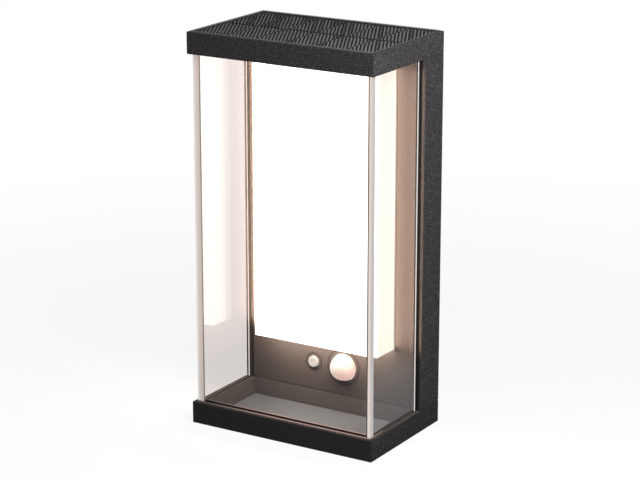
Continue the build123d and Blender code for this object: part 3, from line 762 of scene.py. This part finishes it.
    def glue_corners(self, shade):
        """Thin beads of glue in the inner corners, between the front pane and the side panes; the left one
        carries a painted glow.
        """
        foot, top = seal_heights
        bead = 0.6 * MM
        inner_y = pane_low.y + shade.wall
        free_y = inner_y + bead
        for name, inner_x, inward, glow in (
            ("glue_bead_left", pane_low.x + shade.wall, 1, 0.2),
            ("glue_bead_right", pane_high.x - shade.wall, -1, 0.0),
        ):
            free_x = inner_x + inward * bead
            start, end = sorted((inner_x, free_x))
            glue = add_block(name, (start, inner_y, foot), (end, free_y, top))
            bevel_edges(
                glue, lambda a, b: upright(a, b) and abs(a.x - free_x) + abs(a.y - free_y) < bead / 4,
                0.7 * bead, 4,
            )
            cured = grained_finish(
                name, (0.03, 0.026, 0.023), (0.05, 0.043, 0.04), grain=3 * MM,
                roughness=(0.3, 0.45), depth=0.01 * MM, stretch=DRAWN_UP,
                plain={"Emission Color": (1.0, 0.88, 0.82, 1), "Emission Strength": glow},
            )
            own(glue, cured)

    def seal_foot(self, shade, rubber):
        """Two beads of sealant round the foot of the panes, with a painted warm glint, and a black strip
        under the inner one.
        """
        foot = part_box("base_tray")[1].z
        bead, raised = 0.5 * MM, 0.9 * MM
        sealant = self.sealant_painted_glint((20 * MM, pane_low.y, foot))
        for name, inset, under, top, finish, slot in (
            ("foot_bead_outer", -bead, foot, foot + bead, sealant, "clear_acrylic"),
            ("foot_bead_inner", shade.wall, foot + raised, foot + raised + bead, sealant, "clear_acrylic"),
            ("foot_strip", shade.wall, foot, foot + raised, rubber, "black_rubber"),
        ):
            strip = add_block(
                name, (pane_low.x + inset, pane_low.y + inset, under),
                (pane_high.x - inset, pane_high.y, top),
            )
            open_faces(strip, UP, DOWN, BACK)
            thicken(strip, bead)
            bevel_edges(strip, lambda a, b: min(a.z, b.z) > top - bead / 2, 0.3 * bead, 2)
            own(strip, finish)

    def sealant_painted_glint(self, glint_centre):
        """Sealant with a painted warm glint, strongest at one point and fading away from it."""
        sealant = new_finish("sealant_painted_glint", {"Roughness": 0.3, "Emission Strength": 1.0})
        depth_most, lit_length = (1, 4, 1), 80 * MM
        distance = distance_from(sealant, glint_centre, depth_most)
        tint(
            sealant, "Emission Color", between(sealant, distance, 0.0, 1.0, 0.0, lit_length),
            (0.0, (0.42, 0.26, 0.235)), (0.4, (0.37, 0.24, 0.215)), (0.7, (0.2, 0.14, 0.13)),
            (0.9, (0.08, 0.065, 0.06)), (1.0, (0.03, 0.027, 0.026)),
        )
        cloud = lumps(sealant, place_on_part(sealant), 6 * MM)
        tint(sealant, "Base Color", cloud, (0.3, (0.03, 0.025, 0.022)), (0.7, (0.05, 0.042, 0.038)))
        return sealant


class WALL_LIGHT_OT_solar_panel(bpy.types.Operator):
    """Solar cells with their slanted print, and the cover over them"""

    bl_idname = "wall_light.solar_panel"
    bl_label = "Solar panel"

    def execute(self, context):
        solar = context.scene.wall_light.solar
        low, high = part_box("solar_cells")
        step_x = (high.x - low.x + solar.gap) / solar.columns
        step_y = (high.y - low.y + solar.row_gap) / solar.rows
        corner = Vector((low.x + step_x - solar.gap, low.y + step_y - solar.row_gap, high.z))
        wafers = self.cut_wafer(solar, low, corner)
        printed = self.print_lines(solar, low, corner)
        for piece in (wafers, printed):
            repeat(piece, solar.columns, (step_x, 0, 0))
            repeat(piece, solar.rows, (0, step_y, 0))
        self.finish_cells(wafers, printed)
        self.emboss_cover()
        self.back_panel()
        self.saw_cover_edge()
        return {"FINISHED"}

    def cut_wafer(self, solar, low, corner):
        """One wafer with cut-off corners, in the front left cell's place."""
        wafer = add_block("cell_wafers", low, (corner.x, corner.y, corner.z - solar.relief))
        bevel_edges(wafer, upright, solar.corner, 1)
        return wafer

    def print_lines(self, solar, low, corner):
        """One wafer's slanted lines, cut off at the wafer's edges."""
        foot = corner.z - solar.relief
        middle = (low + corner) / 2
        reach = (corner - low).to_2d().length / 2
        count = 2 * int(reach / solar.pitch) + 1
        first = middle.x - (count - 1) / 2 * solar.pitch
        lines = add_block(
            "cell_print",
            (first - solar.line / 2, middle.y - reach, foot),
            (first + solar.line / 2, middle.y + reach, corner.z),
        )
        bevel_edges(lines, lambda a, b: min(a.z, b.z) > foot + solar.relief / 2, solar.relief / 2, 2)
        repeat(lines, count, (solar.pitch, 0, 0))
        turn_piece(lines, solar.slant, middle)
        margin = Vector((solar.margin, solar.margin, 0))
        for point, outward in (
            (low + margin, LEFT), (low + margin, FRONT), (corner - margin, RIGHT), (corner - margin, BACK),
        ):
            cut_off(lines, point, outward)
        return lines

    def finish_cells(self, wafers, printed):
        """Dark silicon with a grey print."""
        silicon = grained_finish(
            "dark_silicon", (0.02, 0.02, 0.022), (0.034, 0.034, 0.037), grain=6 * MM,
            roughness=(0.6, 0.7), depth=0.01 * MM, stretch=(1, 0.4, 1), specular=0.0,
        )
        own(wafers, silicon)
        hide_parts("solar_cells")
        silver = grained_finish(
            "printed_grey", (0.18, 0.18, 0.185), (0.43, 0.43, 0.435), grain=0.9 * MM,
            roughness=(0.55, 0.7), depth=0.01 * MM, specular=0.0,
        )
        own(printed, silver)

    def emboss_cover(self):
        """A clear, pebbled film."""
        film = new_finish("embossed_film", {"Alpha": 0.25, "Specular IOR Level": 0.1, "IOR": 1.45})
        emboss = pebbles(film, 1.1 * MM)
        tint(film, "Base Color", emboss, (0.2, (0.05, 0.05, 0.052)), (0.8, (0.02, 0.02, 0.022)))
        feed(film, "Roughness", between(film, emboss, 0.55, 0.7, 0.1, 0.8))
        raise_surface(film, emboss, -0.12 * MM)
        dress(film, "solar_cover")
        nodes_of_part["solar_cover"].visible_shadow = False

    def back_panel(self):
        """The board under the cells and the potted terminal on it."""
        board = grained_finish(
            "black_fibre_board", grey(0.008), grey(0.018), grain=0.9 * MM, roughness=(0.6, 0.75),
            stretch=(1, 0.3, 1),
        )
        dress(board, "solar_backing")
        potting = grained_finish(
            "black_potting", (0.008, 0.008, 0.009), (0.015, 0.015, 0.016), grain=4 * MM,
            roughness=(0.15, 0.3), depth=0.1 * MM,
        )
        dress(potting, "solar_terminal")

    def saw_cover_edge(self):
        """The pale sawn edge of the cover, a thin skin round the part that stands out of the cap."""
        low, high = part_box("solar_cover")
        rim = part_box("top_cap")[1].z
        skin, rise = 0.12 * MM, 0.4 * MM
        edge = add_block("cover_edge", (low.x, low.y, rim - skin), (high.x, high.y, rim + rise))
        open_faces(edge, UP, DOWN)
        thicken(edge, skin)
        pale = grained_finish(
            "sawn_resin", grey(0.2), grey(0.3), grain=0.6 * MM, roughness=(0.5, 0.65), specular=0.2
        )
        own(edge, pale)


class WALL_LIGHT_OT_light_box(bpy.types.Operator):
    """Lit opal diffuser, the lamp board behind it, and the light it throws"""

    bl_idname = "wall_light.light_box"
    bl_label = "Light box"

    def execute(self, context):
        glow = context.scene.wall_light.glow
        self.light_diffuser(glow)
        white = grained_finish(
            "white_lamp_board", (0.72, 0.72, 0.7), (0.8, 0.8, 0.78), grain=1.2 * MM,
            roughness=(0.35, 0.5),
        )
        dress(white, "led_board")
        phosphor = grained_finish(
            "yellow_phosphor", (0.7, 0.5, 0.1), (0.9, 0.72, 0.25), grain=0.6 * MM, roughness=(0.25, 0.4)
        )
        dress(phosphor, "leds")
        self.fit_light_lips()
        self.throw_light(glow)
        return {"FINISHED"}

    def light_diffuser(self, glow):
        """Opal plastic that glows all over, and twice as much round its left front edge."""
        opal = new_finish("lit_opal", {"Specular IOR Level": 0.3})
        left_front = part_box("diffuser")[0]
        full, half = 9 * MM, 14 * MM
        from_edge = distance_from(opal, left_front, IN_PLAN)
        strength = between(opal, from_edge, glow.brightness, glow.brightness / 2, full, half)
        feed(opal, "Emission Strength", strength)
        tint(
            opal, "Emission Color", facing(opal, RIGHT),
            (0.05, glow.left_flank), (0.3, glow.face), (0.7, glow.face), (0.95, glow.right_flank),
        )
        cloud = lumps(opal, place_on_part(opal), 25 * MM)
        tint(opal, "Base Color", cloud, (0.3, (0.4, 0.385, 0.35)), (0.7, (0.46, 0.445, 0.41)))
        feed(opal, "Roughness", between(opal, cloud, 0.35, 0.5))
        dress(opal, "diffuser")

    def fit_light_lips(self):
        """Thin lips that close the gaps between the diffuser's sides and the housing, with a painted warm
        glow, dark at the left and warm and glowing at the right.
        """
        low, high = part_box("diffuser")
        lip, rise = 0.9 * MM, 0.25 * MM
        strips = add_twins("light_lips", "diffuser", (0, lip), (face_y - rise, face_y), (low.z, high.z))
        lip_glow = new_finish("lip_painted_glow", {"Emission Color": (1.0, 0.72, 0.6, 1), "Roughness": 0.5})
        across = across_node(lip_glow, "diffuser")
        tint(lip_glow, "Base Color", across, (0.1, (0.02, 0.017, 0.015)), (0.9, (0.33, 0.265, 0.225)))
        feed(lip_glow, "Emission Strength", between(lip_glow, across, 0.05, 0.35, 0.1, 0.9))
        own(strips, lip_glow)

    def throw_light(self, glow):
        """Lamps on the diffuser's faces and before the housing, left out of view and reflections."""
        low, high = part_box("diffuser")
        gap, foot, inset = 0.2 * MM, 2 * MM, 5 * MM
        middle = (low + high) / 2
        depth, width, height = face_y - low.y, high.x - low.x, high.z - low.z
        side_y, side_z, side_size = (low.y + face_y) / 2, middle.z + foot / 2, (depth, height - foot)
        left_x, right_x = pane_low.x, pane_high.x
        rim = solid_high.x - right_x
        rim_y, rim_size = face_y - 3 * rim, (0.8 * rim, height - foot)
        edge_y, edge_size = face_y - 6 * MM, (4 * MM, height - foot)
        cone = math.radians(100)
        plain, warm = glow.colour, glow.side_colour
        lamps = (
            ("front_glow", middle.x, low.y - gap, middle.z, FRONT, (width, height), glow.forward, plain),
            ("left_glow", low.x - gap, side_y, side_z, LEFT, side_size, glow.leftward, warm),
            ("right_glow", high.x + gap, side_y, side_z, RIGHT, side_size, glow.rightward, warm),
            ("lower_glow", middle.x, side_y, low.z - gap, DOWN, (width, depth), glow.downward, plain),
            ("upper_glow", middle.x, side_y, high.z + gap, UP, (width, depth), glow.downward, plain),
            ("left_rim_glow", left_x - rim / 2, rim_y, side_z, BACK, rim_size, glow.past_panes, warm),
            ("right_rim_glow", right_x + rim / 2, rim_y, side_z, BACK, rim_size, glow.past_panes, warm),
            ("left_edge_glow", left_x + inset, edge_y, side_z, BACK, edge_size, glow.left_edge, warm),
            ("right_edge_glow", right_x - inset, edge_y, side_z, BACK, edge_size, glow.right_edge, warm),
        )
        for name, x, y, z, direction, size, strength, colour in lamps:
            lamp = add_lamp(name, (x, y, z), direction, size, strength * math.pi * size[0] * size[1])
            lamp.data.color = colour
            if direction == BACK:
                lamp.data.spread = cone
            lamp.visible_glossy = False
            lamp.visible_transmission = False


class WALL_LIGHT_OT_sensor(bpy.types.Operator):
    """Motion sensor's dome and can"""

    bl_idname = "wall_light.sensor"
    bl_label = "Motion sensor"

    def execute(self, context):
        self.mould_dome()
        nickel = grained_finish(
            "nickel_plate", (0.55, 0.53, 0.5), (0.66, 0.64, 0.6), grain=1.5 * MM,
            roughness=(0.22, 0.36), plain={"Metallic": 1.0},
        )
        dress(nickel, "sensor_can", "battery_contacts")
        self.fit_bezels()
        return {"FINISHED"}

    def mould_dome(self):
        """Milky plastic with faint facets and a painted glow, whiter on its lit side and rosier on its
        shadow side.
        """
        milky = new_finish("milky_lens_painted_light", {
            "Subsurface Weight": 0.35, "Subsurface Scale": 1.5 * MM, "Specular IOR Level": 0.3,
            "Emission Strength": 0.68,
        })
        shadow_side = (RIGHT + DOWN).normalized()
        tint(
            milky, "Emission Color", facing(milky, shadow_side),
            (0.35, (0.85, 0.83, 0.78)), (0.75, (1.0, 0.65, 0.56)),
        )
        facets = pebbles(milky, 2.4 * MM)
        tint(milky, "Base Color", facets, (0.1, (0.2, 0.195, 0.19)), (0.8, (0.18, 0.176, 0.17)))
        feed(milky, "Roughness", between(milky, facets, 0.28, 0.36, 0.1, 0.8))
        raise_surface(milky, facets, 0.015 * MM)
        dress(milky, "sensor_dome")

    def fit_bezels(self):
        """Flat black rings on the housing, round the openings of dome and button; they also paint the dark
        outline of the shadow gaps there.
        """
        clearance, width, rise = 0.5 * MM, 0.45 * MM, 0.12 * MM
        rings = []
        for node in ("sensor_dome", "mode_button"):
            low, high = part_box(node)
            bore = (high.x - low.x) / 2 + clearance
            middle = ((low.x + high.x) / 2, face_y - rise / 2, (low.z + high.z) / 2)
            rings.append(add_ring("sensor_bezels", middle, bore, width, rise))
        black = grained_finish(
            "black_bezel_painted_shade", (0.016, 0.015, 0.014), (0.024, 0.023, 0.022), grain=0.5 * MM,
            roughness=(0.5, 0.65), depth=0.01 * MM, specular=0.2,
        )
        own(join_pieces(rings), black)


class WALL_LIGHT_OT_push_button(bpy.types.Operator):
    """Push button and the switch behind it"""

    bl_idname = "wall_light.push_button"
    bl_label = "Push button"

    def execute(self, context):
        # The button's dark ivory moulding is drawn bright by a painted glow
        ivory = grained_finish(
            "satin_ivory_painted_glow", (0.13, 0.135, 0.13), (0.16, 0.165, 0.16), grain=0.4 * MM,
            roughness=(0.35, 0.5), depth=0.01 * MM,
            plain={"Emission Color": (1.0, 0.99, 0.94, 1), "Emission Strength": 0.36},
        )
        dress(ivory, "mode_button")
        black = grained_finish(
            "black_switch", grey(0.012), grey(0.022), grain=0.5 * MM, roughness=(0.45, 0.6)
        )
        dress(black, "mode_switch", "switch_plunger", "board_components")
        return {"FINISHED"}


class WALL_LIGHT_OT_base_window(bpy.types.Operator):
    """Grey insert in the floor of the base"""

    bl_idname = "wall_light.base_window"
    bl_label = "Base window"

    def execute(self, context):
        satin = grained_finish(
            "grey_satin_window", (0.074, 0.088, 0.1), (0.082, 0.098, 0.111), grain=5 * MM,
            roughness=(0.3, 0.42), depth=0.004 * MM, specular=0.3,
        )
        dress(satin, "floor_window")
        return {"FINISHED"}


class WALL_LIGHT_OT_electronics(bpy.types.Operator):
    """Control board, wiring and battery"""

    bl_idname = "wall_light.electronics"
    bl_label = "Electronics"

    def execute(self, context):
        mask = grained_finish(
            "green_solder_mask", (0.005, 0.07, 0.025), (0.012, 0.12, 0.05), grain=2.2 * MM,
            roughness=(0.25, 0.4), stretch=(1, 1, 0.15),
        )
        dress(mask, "control_board")
        nylon = grained_finish(
            "natural_nylon", (0.62, 0.59, 0.5), (0.7, 0.67, 0.58), grain=0.6 * MM, roughness=(0.4, 0.55)
        )
        dress(nylon, "led_socket", "board_sockets")
        moulding = grained_finish(
            "black_moulding", (0.012, 0.012, 0.0125), (0.024, 0.024, 0.025), grain=0.7 * MM,
            roughness=(0.5, 0.65), depth=0.04 * MM, specular=0.3,
        )
        dress(moulding, "rear_cover", "battery_holder")
        sleeve = grained_finish(
            "blue_sleeve", (0.02, 0.07, 0.16), (0.035, 0.1, 0.21), grain=8 * MM, roughness=(0.2, 0.32)
        )
        dress(sleeve, "battery_cells")
        lead = grained_finish(
            "black_lead", grey(0.012), grey(0.025), grain=0.8 * MM, roughness=(0.4, 0.55)
        )
        dress(lead, "solar_lead", "led_lead", "battery_lead")
        return {"FINISHED"}


class WALL_LIGHT_OT_fixings(bpy.types.Operator):
    """Screws, studs and wall bracket"""

    bl_idname = "wall_light.fixings"
    bl_label = "Fixings"

    def execute(self, context):
        zinc = grained_finish(
            "zinc_plate", (0.45, 0.45, 0.44), (0.58, 0.58, 0.56), grain=0.8 * MM,
            roughness=(0.3, 0.42), depth=0.01 * MM, stretch=(1, 1, 0.06), plain={"Metallic": 1.0},
        )
        dress(
            zinc, "wall_bracket", "bracket_studs", "cap_screws", "base_screws", "cover_screws",
            "led_board_screws", "board_screws",
        )
        return {"FINISHED"}


def seen_rays(owner, mirror):
    """1 for rays that show the background plainly or through clear plastic, and less for mirrored rays."""
    path = owner.node_tree.nodes.new("ShaderNodeLightPath").outputs
    seen = path["Is Camera Ray"]
    for name in ("Is Glossy Ray", "Is Transmission Ray"):
        seen = combine(owner, "MAXIMUM", seen, path[name])
    share = between(owner, path["Glossy Depth"], 1.0, mirror, 0.0, 1.0)
    return combine(owner, "MULTIPLY", seen, share)


class WALL_LIGHT_OT_stage(bpy.types.Operator):
    """Floor, soft lamps, white background and camera"""

    bl_idname = "wall_light.stage"
    bl_label = "Stage"

    def execute(self, context):
        scene = context.scene
        stage = scene.wall_light.stage
        scene.view_settings.view_transform = "Standard"
        longest_path = 32
        for kind in ("max_bounces", "glossy_bounces", "transmission_bounces"):
            setattr(scene.cycles, kind, longest_path)
        scene.cycles.caustics_reflective = False
        scene.cycles.caustics_refractive = False
        self.lay_floor(stage)
        self.light_sky(scene, stage)
        target = Vector(stage.target)
        for name, place, size, power in (
            ("key_lamp", (0.34, -0.2, 0.28), 0.28, stage.key),
            ("fill_lamp", (-0.3, -0.7, 0.6), 0.5, stage.fill),
        ):
            add_lamp(name, place, target - Vector(place), (size, size), power)
        self.place_camera(scene, stage, target)
        return {"FINISHED"}

    def lay_floor(self, stage):
        """A floor just under the lamp, a little less white near it."""
        width, drop = 8, 0.1 * MM
        deselect_all()
        bpy.ops.mesh.primitive_plane_add(size=width, location=(0, 0, solid_low.z - drop))
        floor = bpy.context.active_object
        floor.name = "studio_floor"
        paint = new_finish("pale_floor", {
            "Base Color": (*stage.floor, 1), "Roughness": 0.9, "Specular IOR Level": 0.0,
            "Emission Color": (1, 1, 1, 1),
        })
        near, far = 0.2, 0.7
        whiteness = between(paint, distance_from(paint, (0, 0, 0)), 0.9, 1.0, near, far)
        lit = combine(paint, "MULTIPLY", whiteness, seen_rays(paint, stage.mirror))
        feed(paint, "Emission Strength", lit)
        floor.data.materials.append(paint)

    def light_sky(self, scene, stage):
        """A weak white sky for the light, and a full white one for what is seen."""
        world = bpy.data.worlds.new("soft_white_sky")
        scene.world = world
        world.use_nodes = True
        nodes = world.node_tree.nodes
        soft, white = nodes["Background"], nodes.new("ShaderNodeBackground")
        for background, strength in ((soft, stage.sky), (white, 1.0)):
            background.inputs["Color"].default_value = (1, 1, 1, 1)
            background.inputs["Strength"].default_value = strength
        choice = nodes.new("ShaderNodeMixShader")
        link(world, seen_rays(world, stage.mirror), choice.inputs[0])
        link(world, soft.outputs[0], choice.inputs[1])
        link(world, white.outputs[0], choice.inputs[2])
        link(world, choice.outputs[0], nodes["World Output"].inputs["Surface"])

    def place_camera(self, scene, stage, target):
        """A camera at the photograph's viewing angle."""
        flat = math.cos(stage.elevation)
        back = Vector((
            math.sin(stage.azimuth) * flat, -math.cos(stage.azimuth) * flat, math.sin(stage.elevation)
        ))
        turn = (-back).to_track_quat("-Z", "Y").to_euler()
        bpy.ops.object.camera_add(location=target + back * stage.distance, rotation=turn)
        camera = bpy.context.active_object
        camera.name = "photo_camera"
        camera.data.sensor_width = 36
        camera.data.lens = stage.lens
        scene.camera = camera


OPERATORS = (
    WALL_LIGHT_OT_castings,
    WALL_LIGHT_OT_shade,
    WALL_LIGHT_OT_solar_panel,
    WALL_LIGHT_OT_light_box,
    WALL_LIGHT_OT_sensor,
    WALL_LIGHT_OT_push_button,
    WALL_LIGHT_OT_base_window,
    WALL_LIGHT_OT_electronics,
    WALL_LIGHT_OT_fixings,
    WALL_LIGHT_OT_stage,
)


class WALL_LIGHT_PT_sidebar(bpy.types.Panel):
    """Lists the steps that dress the wall light, and their settings"""

    bl_idname = "WALL_LIGHT_PT_sidebar"
    bl_label = "Wall light"
    bl_space_type = "VIEW_3D"
    bl_region_type = "UI"
    bl_category = "Wall light"

    def draw(self, context):
        for step in OPERATORS:
            self.layout.operator(step.bl_idname, text=step.bl_label)
        for group_name in WallLightSettings.__annotations__:
            group = getattr(context.scene.wall_light, group_name)
            box = self.layout.box()
            for name in type(group).__annotations__:
                box.prop(group, name)


CLASSES = (
    CoatSettings,
    ShadeSettings,
    SolarSettings,
    GlowSettings,
    StageSettings,
    WallLightSettings,
    *OPERATORS,
    WALL_LIGHT_PT_sidebar,
)


def register():
    """Makes the settings, the steps and the sidebar known to Blender."""
    for each in CLASSES:
        bpy.utils.register_class(each)
    bpy.types.Scene.wall_light = PointerProperty(type=WallLightSettings)


def unregister():
    """Takes them out again."""
    del bpy.types.Scene.wall_light
    for each in reversed(CLASSES):
        bpy.utils.unregister_class(each)


def main():
    """Runs every step in order."""
    register()
    for step in OPERATORS:
        group, name = step.bl_idname.split(".")
        getattr(getattr(bpy.ops, group), name)()
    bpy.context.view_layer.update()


if __name__ == "__main__":
    main()
